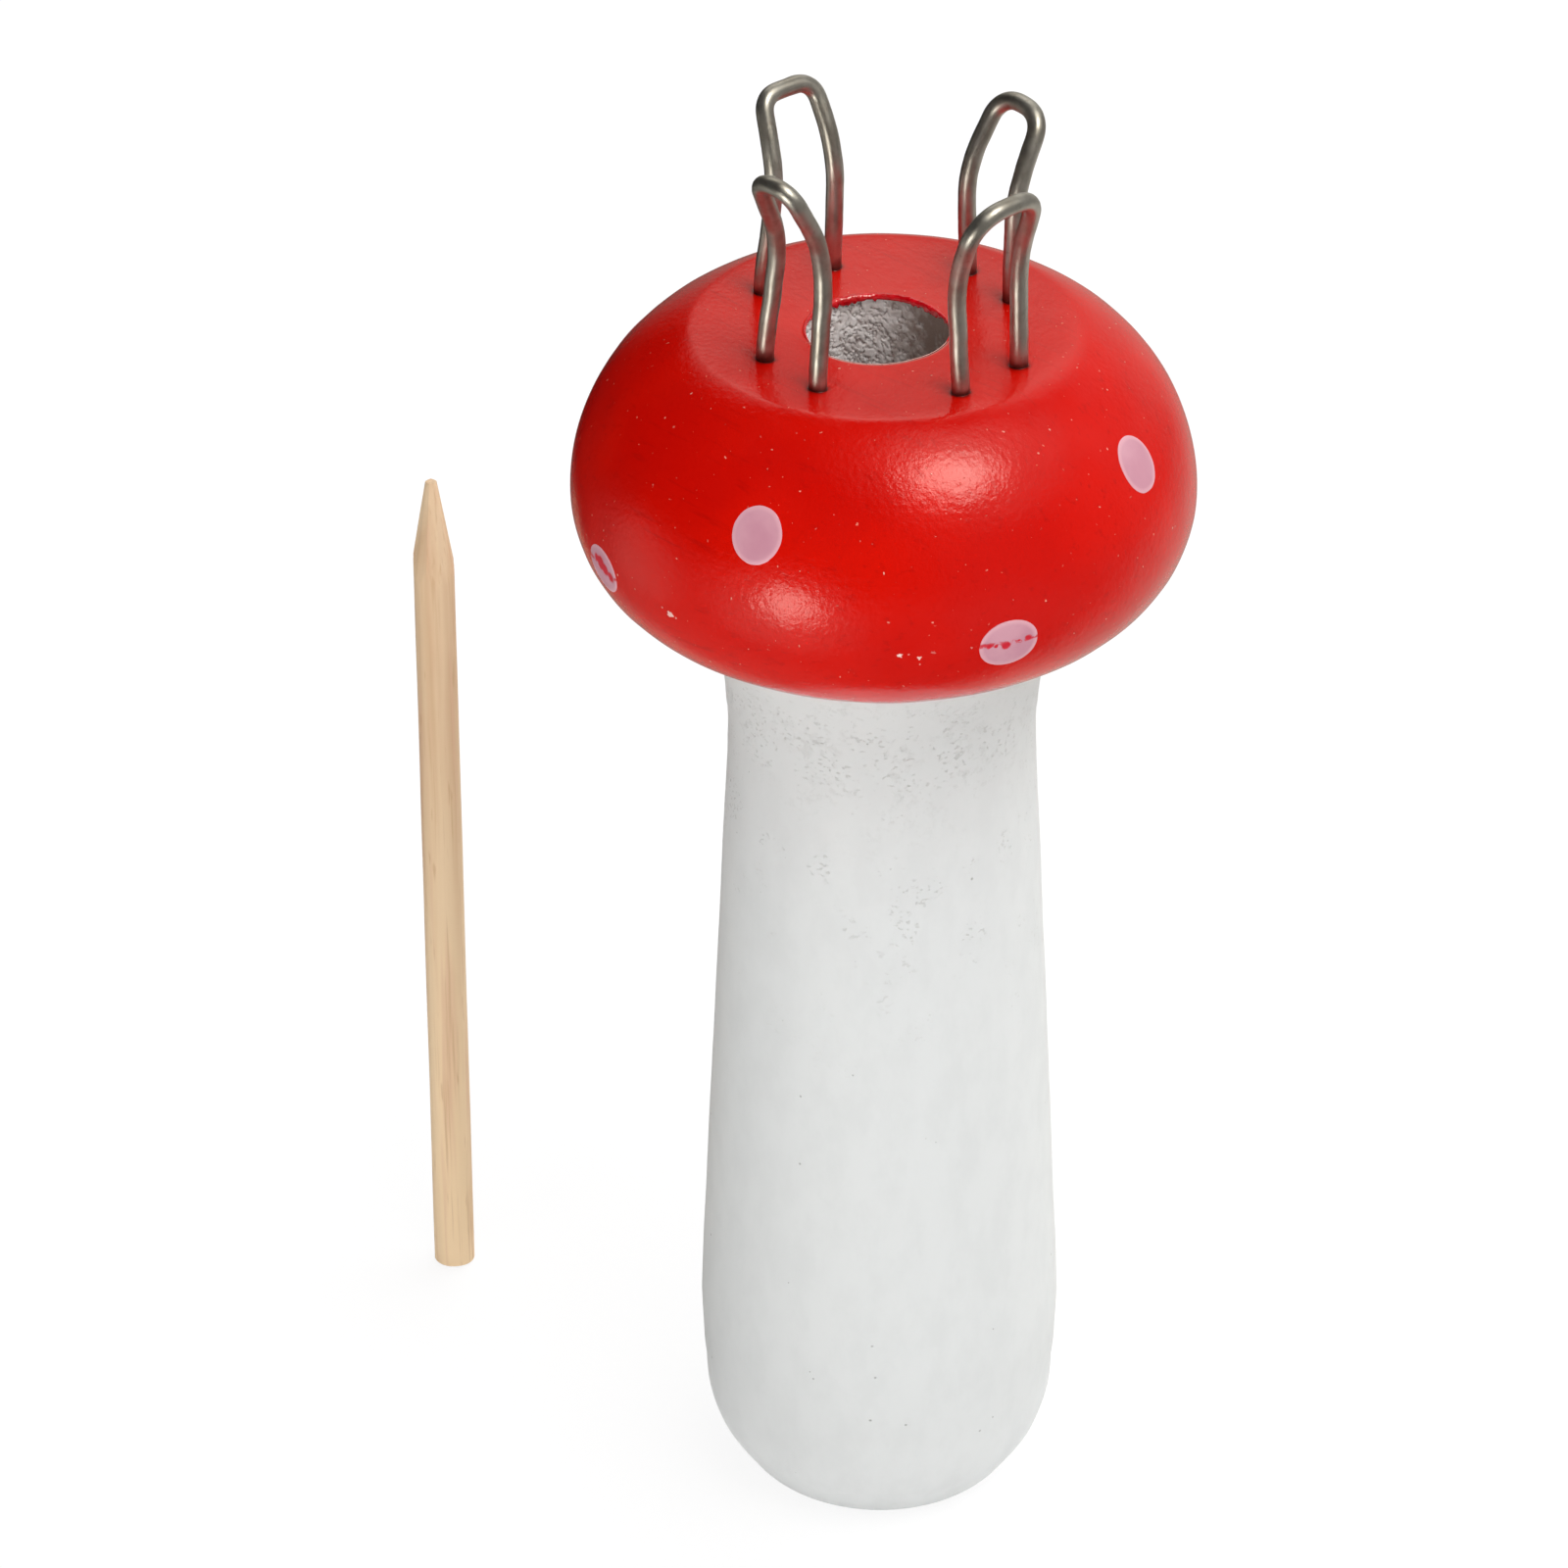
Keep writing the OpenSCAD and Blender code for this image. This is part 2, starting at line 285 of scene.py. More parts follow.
def white_paint():
    material, n = new_material("white_paint")
    height = n.height()
    soft = n.grain((330, 330, 170), 4, 0.6)
    colour = n.mix(n.between(soft, 0.35, 0.7), rgb(227, 229, 228), rgb(223, 225, 224))
    # Under the cap the paint is rubbed, and greyer as painted shade from the cap
    colour = n.mix(n.between(height, 70 * MM, 94 * MM), colour, rgb(220, 222, 220))
    broad = n.between(n.grain(240, 2), 0.38, 0.62)
    smudge = n.between(n.grain(1100, 4, 0.7), 0.5, 0.66)
    near_cap = n.between(n.between(height, 66 * MM, 92 * MM), 0, 1, 0.05, 1.0)
    rubbed = n.times(smudge, broad, near_cap)
    colour = n.mix(n.times(rubbed, 0.15), colour, rgb(178, 178, 172))
    # Small dried dimples lie in a band round the neck, and in a few groups below it
    patchy = n.between(n.grain(300, 3, 0.6), 0.42, 0.54)
    band = n.times(n.between(height, 80 * MM, 84.5 * MM), n.between(height, 88.5 * MM, 91 * MM, 1, 0.4))
    groups = n.times(n.between(n.grain(210, 2), 0.54, 0.62), n.between(height, 45 * MM, 75 * MM))
    dimple = n.between(n.grain((1900, 1900, 2700), 2, 0.55), 0.59, 0.67)
    dimple = n.times(dimple, n.times(patchy, n.most(band, groups)))
    # Single pits anywhere
    distance, chance, wide, _ = n.cells(n.at, 420)
    pit = n.dot(distance, n.between(wide, 0.0, 1.0, 0.03, 0.07))
    pit = n.times(pit, n.between(chance, 0.60, 0.62))
    colour = n.mix(n.times(pit, 0.5), colour, rgb(132, 128, 122))
    colour = n.mix(n.times(dimple, 0.22), colour, rgb(160, 157, 148))
    normal = n.bump(n.grain(1000, 3, 0.6), 0.05, 0.45)
    normal = n.bump(rubbed, 0.1, 0.5, normal)
    normal = n.bump(n.inverse(dimple), 0.1, 0.7, normal)
    normal = n.bump(n.inverse(pit), 0.1, 0.8, normal)
    n.surface(colour, n.uneven(soft, 0.46, 0.58), normal)
    return material


def rough_bore():
    material, n = new_material("rough_bore")
    patches = n.grain(700, 4, 0.6)
    colour = n.mix(n.between(patches, 0.35, 0.68), rgb(217, 208, 204), rgb(239, 233, 230))
    # Painted shade in the creases of the wall
    colour = n.mix(n.between(n.value("hollow"), 0.45, 1.0, 0, 0.75), colour, rgb(124, 101, 96))
    # Painted shade on the smooth part of the wall, which faces away from the key lamp
    shaded_smooth = n.mix(patches, rgb(138, 118, 109), rgb(160, 142, 132))
    colour = n.mix(n.value("smooth"), colour, shaded_smooth)
    normal = n.bump(n.grain(2600, 3, 0.7), 0.12, 0.7)
    n.surface(colour, n.uneven(patches, 0.75, 0.92), normal)
    return material


def steel_wire():
    material, n = new_material("steel_wire")
    colour = n.mix(n.between(n.grain(420, 3, 0.6), 0.35, 0.7), rgb(184, 181, 175), rgb(158, 153, 145))
    tarnish = n.between(n.grain(1300, 3, 0.65), 0.58, 0.8, 0, 0.45)
    colour = n.mix(tarnish, colour, rgb(112, 94, 78))
    # Painted shade, dark and reddish, at the foot of each leg
    colour = n.mix(n.value("foot"), colour, rgb(66, 30, 24))
    drawn_lines = n.grain((3500, 3500, 300), 3, 0.6)
    normal = n.bump(drawn_lines, 0.02, 0.4)
    normal = n.bump(n.grain(1700, 2), 0.02, 0.3, normal)
    n.surface(colour, n.uneven(n.grain(800), 0.33, 0.42), normal, {"Metallic": 0.93})
    return material


# Direction, height above the widest line and radius of each red mark on the lower spots
SPOT_MARKS = [(-22.6, -1.25, 0.5), (-25.9, -1.0, 0.34), (-24.6, -1.1, 0.26), (-18.3, -0.9, 0.4),
              (-20.2, -1.0, 0.2), (-109.0, -0.6, 0.5), (-107.2, -0.7, 0.85), (-105.6, -1.0, 0.75),
              (-103.6, -1.3, 0.6), (69.2, -1.0, 0.3), (163.0, -1.2, 0.34)]
# Height of the red line across them, and how far it strays
SPOT_LINE_Z, SPOT_LINE_STRAYS = CAP_MID_Z - 1.0, 1.0


def spot_paint():
    material, n = new_material("spot_paint")
    colour = n.mix(n.between(n.grain(300), 0.35, 0.65), rgb(199, 139, 155), rgb(209, 152, 166))
    colour = n.mix(n.value("edge"), colour, rgb(224, 168, 179))
    stray = n.times(n.math("SUBTRACT", n.grain(500, 2), 0.5), SPOT_LINE_STRAYS * MM)
    off_line = n.math("SUBTRACT", n.math("ADD", n.height(), stray), SPOT_LINE_Z * MM)
    line = n.between(n.math("ABSOLUTE", off_line), 0.06 * MM, 0.24 * MM, 0.9, 0)
    broken = n.between(n.grain(1300, 3, 0.6), 0.42, 0.52)
    mark = n.times(line, broken)
    pushed = n.pushed(1800, 2.0)
    for azimuth, up, radius in SPOT_MARKS:
        a = math.radians(azimuth)
        out = LOWER_C + math.sqrt(CAP_LOWER_R ** 2 - up ** 2)
        place = (out * math.cos(a), out * math.sin(a), CAP_MID_Z + up)
        far = n.measure("DISTANCE", pushed, [(v + PUSH / 2) * MM for v in place])
        mark = n.most(mark, n.between(far, 0.6 * radius * MM, radius * MM, 1, 0))
    colour = n.mix(mark, colour, rgb(208, 6, 40))
    normal = n.bump(n.grain(1500), 0.03, 0.4)
    normal = n.bump(n.inverse(mark), 0.06, 0.7, normal)
    n.surface(colour, n.uneven(n.grain(900, 2), 0.36, 0.48), normal)
    return material


def bare_wood():
    material, n = new_material("bare_wood")
    broad = n.grain((450, 450, 14), 3, 0.55)
    colour = n.mix(n.between(broad, 0.32, 0.68), rgb(216, 180, 141), rgb(234, 206, 170))
    # Painted light: the stick is paler towards its foot, where the white floor lights it
    colour = n.mix(n.between(n.height(), 0.0, 70 * MM, 0.95, 0), colour, rgb(248, 218, 177))
    rosy = n.grain((900, 900, 40), 2, 0.5)
    colour = n.mix(n.between(rosy, 0.48, 0.7, 0, 0.5), colour, rgb(222, 178, 146))
    fibre = n.grain((2600, 2600, 60), 3, 0.6)
    colour = n.mix(n.between(fibre, 0.52, 0.74, 0, 0.52), colour, rgb(204, 164, 122))
    fleck = n.grain((1500, 1500, 180), 2, 0.5)
    colour = n.mix(n.between(fleck, 0.64, 0.74, 0, 0.42), colour, rgb(196, 152, 110))
    n.surface(colour, n.uneven(broad, 0.6, 0.72), n.bump(fibre, 0.06, 0.5))
    return material


def dark_collar():
    material, n = new_material("dark_collar")
    colour = n.mix(n.between(n.grain(900), 0.4, 0.62), rgb(60, 12, 8), rgb(110, 14, 10))
    n.surface(colour, n.uneven(n.grain(600, 2), 0.25, 0.4), n.bump(n.grain(2500, 2), 0.04, 0.5))
    return material


def chipped_paint():
    material, n = new_material("chipped_paint")
    patchy = n.times(n.value("pale"), n.between(n.grain(1500), 0.3, 0.6, 0.6, 1.0))
    colour = n.mix(patchy, rgb(214, 52, 40), rgb(250, 222, 212))
    n.surface(colour, n.uneven(n.grain(900, 2), 0.5, 0.7), n.bump(n.grain(3000), 0.05, 0.6))
    return material


# Numbers and meshes

# Large numbers that scatter the bits of a cell's place
SCATTER = (374761393, 668265263, 1274126177)
SCATTER_SEED, SCATTER_AGAIN, LOW_BITS = 974711, 1103515245, 0xFFFFFF


def lattice(cell, seed):
    """A random value from -1 to 1 for each whole-number cell, always the same."""
    h = sum(cell[..., k] * SCATTER[k] for k in range(3)) + seed * SCATTER_SEED
    h = (h ^ (h >> 13)) * SCATTER_AGAIN
    h = (h ^ (h >> 16)) & LOW_BITS
    return h / (LOW_BITS // 2) - 1.0


def wander(points, length, octaves=3, seed=0):
    """Smooth random values from about -1 to 1 at points in millimetres, changing over that length."""
    shift, seed_step, gain = 0.37, 31, 1.3
    points = np.asarray(points, float)
    total, size = np.zeros(len(points)), 1.0
    for octave in range(octaves):
        p = points / length * 2 ** octave + shift * octave
        cell = np.floor(p).astype(np.int64)
        t = p - cell
        t = t * t * t * (t * (t * 6 - 15) + 10)
        value = 0.0
        for corner in np.ndindex(2, 2, 2):
            weight = np.prod(np.where(corner, t, 1 - t), axis=1)
            value = value + weight * lattice(cell + np.array(corner), seed + seed_step * octave)
        total, size = total + size * value, size * 0.5
    return total * gain


def unit(x):
    """The values held between 0 and 1."""
    return np.clip(x, 0, 1)


def smooth_step(x):
    x = unit(x)
    return x * x * (3 - 2 * x)


def turns(count):
    """Even angles round a full turn."""
    return np.linspace(0, FULL_TURN, count, endpoint=False)


def side_towards(angle, azimuth):
    """1 on the side of the model that faces the photograph's azimuth and 0 on the other."""
    towards = sky(azimuth, 0)
    return 0.5 + 0.5 * np.cos(angle - math.atan2(towards.y, towards.x))


def grid_faces(rows, cols, wrap_rows):
    faces = []
    for i in range(rows if wrap_rows else rows - 1):
        a, b = i * cols, (i + 1) % rows * cols
        faces += [(a + j, a + (j + 1) % cols, b + (j + 1) % cols, b + j) for j in range(cols)]
    return faces


def closed_tube(verts, cols, first_end, last_end):
    """Points and faces of a tube made of rings, with both ends closed."""
    rows = len(verts) // cols
    last = (rows - 1) * cols
    faces = grid_faces(rows, cols, False)
    faces += [(len(verts), (k + 1) % cols, k) for k in range(cols)]
    faces += [(len(verts) + 1, last + k, last + (k + 1) % cols) for k in range(cols)]
    return np.concatenate([verts, [first_end], [last_end]]), faces


def outward(verts, faces):
    """The faces, turned over if the closed shape is inside out."""
    volume = 0.0
    for corners in (3, 4):
        some = np.array([f for f in faces if len(f) == corners])
        for k in range(1, corners - 1) if len(some) else ():
            a, b, c = (verts[some[:, i]] for i in (0, k, k + 1))
            volume += np.einsum("ij,ij->", a, np.cross(b, c))
    return faces if volume > 0 else [tuple(reversed(f)) for f in faces]


def add_piece(name, verts, faces, material, body, replaces=(), sharp=None, values=None):
    mesh = bpy.data.meshes.new(name)
    verts = np.asarray(verts, float)
    mesh.from_pydata((verts * MM).tolist(), [], outward(verts, faces))
    mesh.polygons.foreach_set("use_smooth", [True] * len(mesh.polygons))
    if sharp:
        mesh.set_sharp_from_angle(angle=math.radians(sharp))
    for key, numbers in (values or {}).items():
        attribute = mesh.attributes.new(key, "FLOAT", "POINT")
        attribute.data.foreach_set("value", np.asarray(numbers, np.float32))
    mesh.materials.append(material)
    mesh.update()
    piece = add_object(name, mesh)
    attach(piece, body)
    if replaces:
        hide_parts(*replaces)


def arc(centre_r, centre_z, radius, start, end, steps):
    angles = np.radians(np.linspace(start, end, steps + 1))
    return [(centre_r + radius * math.cos(a), centre_z + radius * math.sin(a)) for a in angles]


def bell(spread, step, widths):
    """Weights that fall off on both sides, and how many there are on each side."""
    reach = int(widths * spread / step)
    weights = np.exp(-0.5 * (np.arange(-reach, reach + 1) * step / spread) ** 2)
    return weights / weights.sum(), reach


def averaged(rows, weights):
    return np.column_stack([np.convolve(column, weights, "valid") for column in rows.T])


def soften(points, spread, step=0.05):
    """A closed outline in fine steps with its corners rounded."""
    p = np.array(points + points[:1], float)
    along = np.concatenate([[0], np.cumsum(np.hypot(*np.diff(p, axis=0).T))])
    s = np.linspace(0, along[-1], int(along[-1] / step), endpoint=False)
    fine = np.column_stack([np.interp(s, along, p[:, k]) for k in (0, 1)])
    weights, reach = bell(spread, step, 4)
    return averaged(np.concatenate([fine[-reach:], fine, fine[:reach]]), weights)


def thin_out(fine, spacing):
    """Which points of a closed outline to keep, as far apart as spacing says at each."""
    gaps = np.hypot(*(np.roll(fine, -1, axis=0) - fine).T)
    cost = np.cumsum(gaps / np.array([spacing(r, z) for r, z in fine]))
    keep = np.searchsorted(cost, np.linspace(0, cost[-1], int(round(cost[-1])), endpoint=False))
    return np.unique(np.clip(keep, 0, len(fine) - 1))


def turned(outline, cols):
    """Points of a turned body by rows of its outline, their outward normals and angles."""
    after = np.roll(outline, -1, axis=0)
    ahead = after - np.roll(outline, 1, axis=0)
    normal = np.column_stack([ahead[:, 1], -ahead[:, 0]]) / np.hypot(*ahead.T)[:, None]
    normal *= np.sign(np.sum(outline[:, 0] * after[:, 1] - after[:, 0] * outline[:, 1]))
    angle = turns(cols)

    def spun(rows):
        r, z = rows[:, 0], np.repeat(rows[:, 1:], cols, axis=1)
        return np.stack([np.outer(r, np.cos(angle)), np.outer(r, np.sin(angle)), z], axis=-1).reshape(-1, 3)

    return spun(outline), spun(normal), np.tile(angle, len(outline))


# Pieces

# Wear of the mouth of the hole at the left, behind and all round, and how far lacquer narrows it at most
WEAR_LEFT, WEAR_BEHIND, WEAR_ROUND, NARROWED = 0.73, 0.2, 0.02, 0.3


def mouth_wear(angle):
    """How far the mouth of the hole is worn outwards, or narrowed by lacquer where it is negative."""
    wear = WEAR_LEFT * (2 * side_towards(angle, LEFT) - 1) + WEAR_BEHIND * side_towards(angle, BEHIND)
    return np.clip(wear + WEAR_ROUND, -NARROWED, None)


def loop_corners(one, side):
    a, tilt, lean = (math.radians(one[k]) for k in ("turn", "twist", "lean"))

    def point(out, along, up):
        r = one["set_r"] + out
        return np.array((r * math.cos(a) - along * math.sin(a), r * math.sin(a) + along * math.cos(a),
                         dish_z(one["set_r"]) + up))

    half = side * one["foot_gap"] / 2
    foot = (half * math.sin(tilt), half * math.cos(tilt))
    return [point(*foot, -LEG_DEPTH), point(*foot, STRAIGHT_H),
            point(-one["knee_in"], side * one["knee_gap"] / 2, one["knee_h"]),
            point(one["arm"] * math.sin(lean) - one["knee_in"], one["shift"] + side * one["crown_w"] / 2,
                  one["knee_h"] + one["arm"] * math.cos(lean))]


def leg_places():
    return np.array([loop_corners(one, side)[1] for one in LOOPS.values() for side in (-1, 1)])


def painted_wire_shadows(points, legs):
    """Painted shadow of each leg of wire, soft, falling behind it and to the left, away from the key lamp."""
    strength, starts, length, width = 0.38, 0.8, 2.6, 0.8
    way = -sky(46, 0)
    rel = points[:, None, :2] - legs[None, :, :2]
    along = rel[..., 0] * way.x + rel[..., 1] * way.y
    across = rel[..., 1] * way.x - rel[..., 0] * way.y
    each = smooth_step(along / starts) * np.exp(-(along / length) ** 2 - (across / width) ** 2)
    return strength * each.max(axis=1)


def build_cap(material):
    cols, arc_steps, corner, round_corner, edge_reach = 384, 60, 0.2, 1.1, 4.0
    wear_reach, pale_rim_width, stain_r, stain_fades = 10, 0.2, 0.85, 0.14
    outline = [(SOCKET_R, STEM_H), (LOWER_C, STEM_H)]
    outline += arc(LOWER_C, CAP_MID_Z, CAP_LOWER_R, -90, 0, arc_steps)[1:]
    outline += arc(UPPER_C, CAP_MID_Z, CAP_UPPER_R, 0, TOP_EDGE_A, arc_steps)[1:]
    outline += [(BORE_R, RIM_Z), (BORE_R, RIM_Z - SKIN), (WALL_R, RIM_Z - SKIN), (WALL_R, SOCKET_TOP),
                (SOCKET_R, SOCKET_TOP)]

    def spacing(r, z):
        if z > RIM_Z - 0.6:
            near = min(abs(r - BORE_R), abs(r - TOP_EDGE_R))
            return 0.09 + 0.3 * min(1.0, near / 1.2) if r < TOP_EDGE_R + 1 else 0.4
        return 1.2 if r <= SOCKET_R + 0.1 else 0.42

    fine = soften(outline, corner)
    kept = thin_out(fine, spacing)
    points, normals, angle = turned(fine[kept], cols)
    # The edge of the flat top is rounder at the right than elsewhere
    from_edge = np.hypot(fine[:, 0] - TOP_EDGE_R, fine[:, 1] - CAP_TOP_Z)
    near_edge = np.exp(-(from_edge / edge_reach) ** 4)
    rounder = fine + near_edge[:, None] * (soften(outline, round_corner) - fine)
    share = 0.36 + 0.52 * unit((side_towards(angle, 80) - 0.6) / 0.35)
    points += share[:, None] * (turned(rounder[kept], cols)[0] - points)
    # The outside is a little uneven, and the socket and the hole are true
    r = np.hypot(points[:, 0], points[:, 1])
    on_top = unit(points[:, 2] - (RIM_Z - 0.1))
    outside = unit((r - SOCKET_R) / 2 + on_top * 10) * unit(r - BORE_R)
    move = 0.035 * wander(points, 9.0, 2) + 0.010 * wander(points, 2.4, 2, 5)
    points = points + normals * (move * outside)[:, None]
    # Dark stain round the legs of wire with their painted shadows beside them, and a pale line along the front edge of
    # the hole
    legs = leg_places()
    to_legs = points[:, None, :2] - legs[None, :, :2]
    gap = np.min(np.hypot(to_legs[..., 0], to_legs[..., 1]), axis=1)
    top = points[:, 2] > RIM_Z - 0.3
    stain_and_shadow = 0.8 * np.exp(-np.clip(gap - stain_r, 0, None) / stain_fades)
    # Painted shadows of the legs, away from the key lamp, join the stain round them
    stain_and_shadow = np.where(top, np.maximum(stain_and_shadow, painted_wire_shadows(points, legs)), 0)
    # A pale line along the front edge of the hole
    pale_rim = np.where(top, np.exp(-((r - BORE_R) / pale_rim_width) ** 2), 0)
    pale_rim = pale_rim * unit(3 * side_towards(angle, 10) - 1.4) * 0.85
    pushed = mouth_wear(angle) * unit((wear_reach - r) / (wear_reach - BORE_R))
    pushed = pushed * unit(points[:, 2] - (RIM_Z - 1.6))
    points[:, :2] *= (1 + pushed / r)[:, None]
    add_piece("cap_lacquered", points, grid_faces(len(kept), cols, True), material, "nancy", ["cap"],
              50, {"stain_and_shadow": stain_and_shadow, "pale_rim": pale_rim})


def build_lip(material):
    """The roll of dried lacquer round the mouth of the hole, thick and ragged at the back."""
    cols, ring, flat = 720, 20, 0.8
    angle = turns(cols)
    circle = np.column_stack([np.cos(angle), np.sin(angle), 0 * angle]) * BORE_R
    behind, right = side_towards(angle, BEHIND), unit(2 * side_towards(angle, RIGHT) - 1)
    sides, back = smooth_step((behind - 0.28) / 0.2), smooth_step((behind - 0.55) / 0.4)
    lumps, drips, fine = wander(circle, 1.5, 2), wander(circle, 0.5, 2, 9), wander(circle, 0.28, 2, 4)
    thick = 0.04 + 0.08 * sides + 0.22 * back * (1 - 0.5 * right) * (1 + 0.3 * lumps)
    ragged = smooth_step((behind - 0.4) / 0.2) * np.clip(0.10 + 0.26 * drips + 0.14 * fine, 0, 0.42)
    centre_r, centre_z = BORE_R + mouth_wear(angle) + 0.03 + 0.1 * thick, RIM_Z - 0.02
    verts = []
    for t in turns(ring):
        u, w = math.cos(t), flat * math.sin(t)
        r = centre_r + thick * (u - w) * 0.72
        z = centre_z + thick * (u + w) * 0.70 - max(0.0, -u - 0.2) * ragged
        verts.append(np.column_stack([r * np.cos(angle), r * np.sin(angle), z]))
    pale = unit(1 - 6 * sides) * 0.9 * unit(3 * side_towards(angle, 10) - 1.2)
    add_piece("bore_lip", np.concatenate(verts), grid_faces(ring, cols, True), material, "nancy",
              values={"pale_rim": np.tile(pale, ring)})


def build_bore_wall(material):
    """The rough wall of the drilled hole, from the foot to just under the lacquer."""
    cols, rows_below, rows_above, fine_from, wear_fades = 420, 50, 135, 110, 3.0
    top, bottom = RIM_Z - SKIN + 0.04, 0.35
    heights = np.concatenate([np.linspace(bottom, fine_from, rows_below, endpoint=False),
                              np.linspace(fine_from, top, rows_above)])
    angle = turns(cols)

    def rings(places):
        return np.array([(r * math.cos(a), r * math.sin(a), z) for r, z in places for a in angle])

    inner = rings([(BORE_R, z) for z in heights])
    around = np.tile(angle, len(heights))
    # Part of the wall, to the right in the photograph, was cut smooth, and it is coloured darker there as painted
    # shade
    smooth = unit((side_towards(around, 96) - 0.58) / 0.30 + 0.3 * wander(inner, 0.7, 3, 8))
    slanted = inner * (1, 1, 0.6) + inner[:, 2:] * (0.35, 0.2, 0)
    creases = np.abs(wander(slanted, 0.46, 3)) + 0.35 * np.abs(wander(inner, 0.24, 2, 3))
    hollow = unit(1.15 - 1.5 * creases)
    depth = 0.02 + 0.25 * hollow * (1 - 0.93 * smooth)
    depth += mouth_wear(around) * np.exp(-((top - inner[:, 2]) / wear_fades) ** 2)
    inner[:, :2] *= ((BORE_R + depth) / BORE_R)[:, None]
    outer = rings([(WALL_R + 0.05, top), (WALL_R + 0.05, bottom)])
    none = np.zeros(len(outer))
    add_piece("bore_wall", np.concatenate([inner, outer]), grid_faces(len(heights) + 2, cols, True), material,
              "nancy", sharp=60,
              values={"smooth": np.concatenate([smooth, none]), "hollow": np.concatenate([hollow, none])})


# Heights on the handle, and how far it departs from true arcs there
BY_EYE = [(0, 0), (2, -0.08), (5, 0.14), (8, 0.03), (11, -0.29), (14, -0.08), (18, 0.26), (25, 0.32),
          (33, 0.28), (45, 0.25), (60, 0.14), (70, 0.09), (78, 0.02), (82, 0.10), (85, 0.27), (88, 0.2), (95.7, 0)]


def build_stem(material):
    cols, corner, lining = 304, 0.12, 0.4
    belly_x, belly_gap = STEM_R - BELLY_R, BELLY_R - FOOT_EDGE_R
    belly_z = FOOT_EDGE_R + math.sqrt(belly_gap ** 2 - (FOOT_R - belly_x) ** 2)
    edge_end = -math.degrees(math.acos((FOOT_R - belly_x) / belly_gap))
    flare_x, flare_z = NECK_R + FLARE_R, STEM_H - FLARE_H
    flare_end = 180 - math.degrees(math.asin(FLARE_H / FLARE_R))
    span = math.hypot(flare_x - belly_x, flare_z - belly_z)
    taper = math.degrees(math.atan2(flare_z - belly_z, flare_x - belly_x))
    taper -= math.degrees(math.acos((BELLY_R + FLARE_R) / span))
    outline = [(BORE_R, 0)] + arc(FOOT_R, FOOT_EDGE_R, FOOT_EDGE_R, -90, edge_end, 20)
    outline += arc(belly_x, belly_z, BELLY_R, edge_end, taper, 40)[1:]
    outline += arc(flare_x, flare_z, FLARE_R, 180 + taper, flare_end, 20)
    outline += [(TENON_R, STEM_H), (TENON_R, STEM_H + TENON_L), (WALL_R, STEM_H + TENON_L), (WALL_R, lining),
                (BORE_R, lining)]

    def spacing(r, z):
        if r < TENON_R + 0.2:
            return 1.5 if z > 0.5 else 0.12
        if z < 6 or z > 88:
            return 0.3
        return 0.5 if z > 74 else 0.9

    fine = soften(outline, corner)
    rows = fine[thin_out(fine, spacing)]
    points, normals, _ = turned(rows, cols)
    r, z = np.hypot(points[:, 0], points[:, 1]), points[:, 2]
    outside = np.where((r > TENON_R + 0.3) & (z < STEM_H - 0.2), unit(z / 2), 0) * unit(STEM_H - z)
    # Turned by eye, so the handle is a little fuller or slimmer than true arcs
    swell = np.interp(z, *np.transpose(BY_EYE))
    move = swell + 0.05 * wander(points, 16.0, 2, 2) + 0.012 * wander(points, 3.0, 3, 7)
    # The paint has dried in ripples at the neck
    ripple = unit(wander(points, 1.6, 3, 11) - 0.15) * unit((z - 76) / 8) * unit((93 - z) / 3)
    points = points + normals * ((move + 0.05 * ripple) * outside)[:, None]
    add_piece("stem_painted", points, grid_faces(len(rows), cols, True), material, "nancy", ["stem"],
              50)


def rounded_path(corners, bends):
    """A path through corners with a bend at each, in steps short enough to look round."""
    path = [corners[0]]
    for k in range(1, len(corners) - 1):
        before, here, after = corners[k - 1], corners[k], corners[k + 1]
        u, w = before - here, after - here
        lu, lw = np.linalg.norm(u), np.linalg.norm(w)
        u, w = u / lu, w / lw
        inside = math.acos(max(-1.0, min(1.0, float(u @ w))))
        back = min(bends[k] / math.tan(inside / 2), 0.48 * min(lu, lw))
        radius = back * math.tan(inside / 2)
        centre = here + (u + w) / np.linalg.norm(u + w) * radius / math.sin(inside / 2)
        a, b = here + u * back - centre, here + w * back - centre
        turn = math.pi - inside
        steps = max(2, int(math.degrees(turn) / 5))
        for m in range(steps + 1):
            t = m / steps
            path.append(centre + (math.sin((1 - t) * turn) * a + math.sin(t * turn) * b) / math.sin(turn))
    path.append(corners[-1])
    return np.array(path)


def even_steps(path, step):
    along = np.concatenate([[0], np.cumsum(np.linalg.norm(np.diff(path, axis=0), axis=1))])
    s = np.linspace(0, along[-1], int(along[-1] / step) + 1)
    return np.column_stack([np.interp(s, along, path[:, k]) for k in range(3)])


def smoothed(path, step, spread):
    """A path in even steps with its bends softened, its ends kept."""
    weights, reach = bell(spread, step, 3)
    # Carried straight on past its ends
    before = 2 * path[0] - path[reach:0:-1]
    after = 2 * path[-1] - path[-2:-reach - 2:-1]
    return averaged(np.concatenate([before, path, after]), weights)


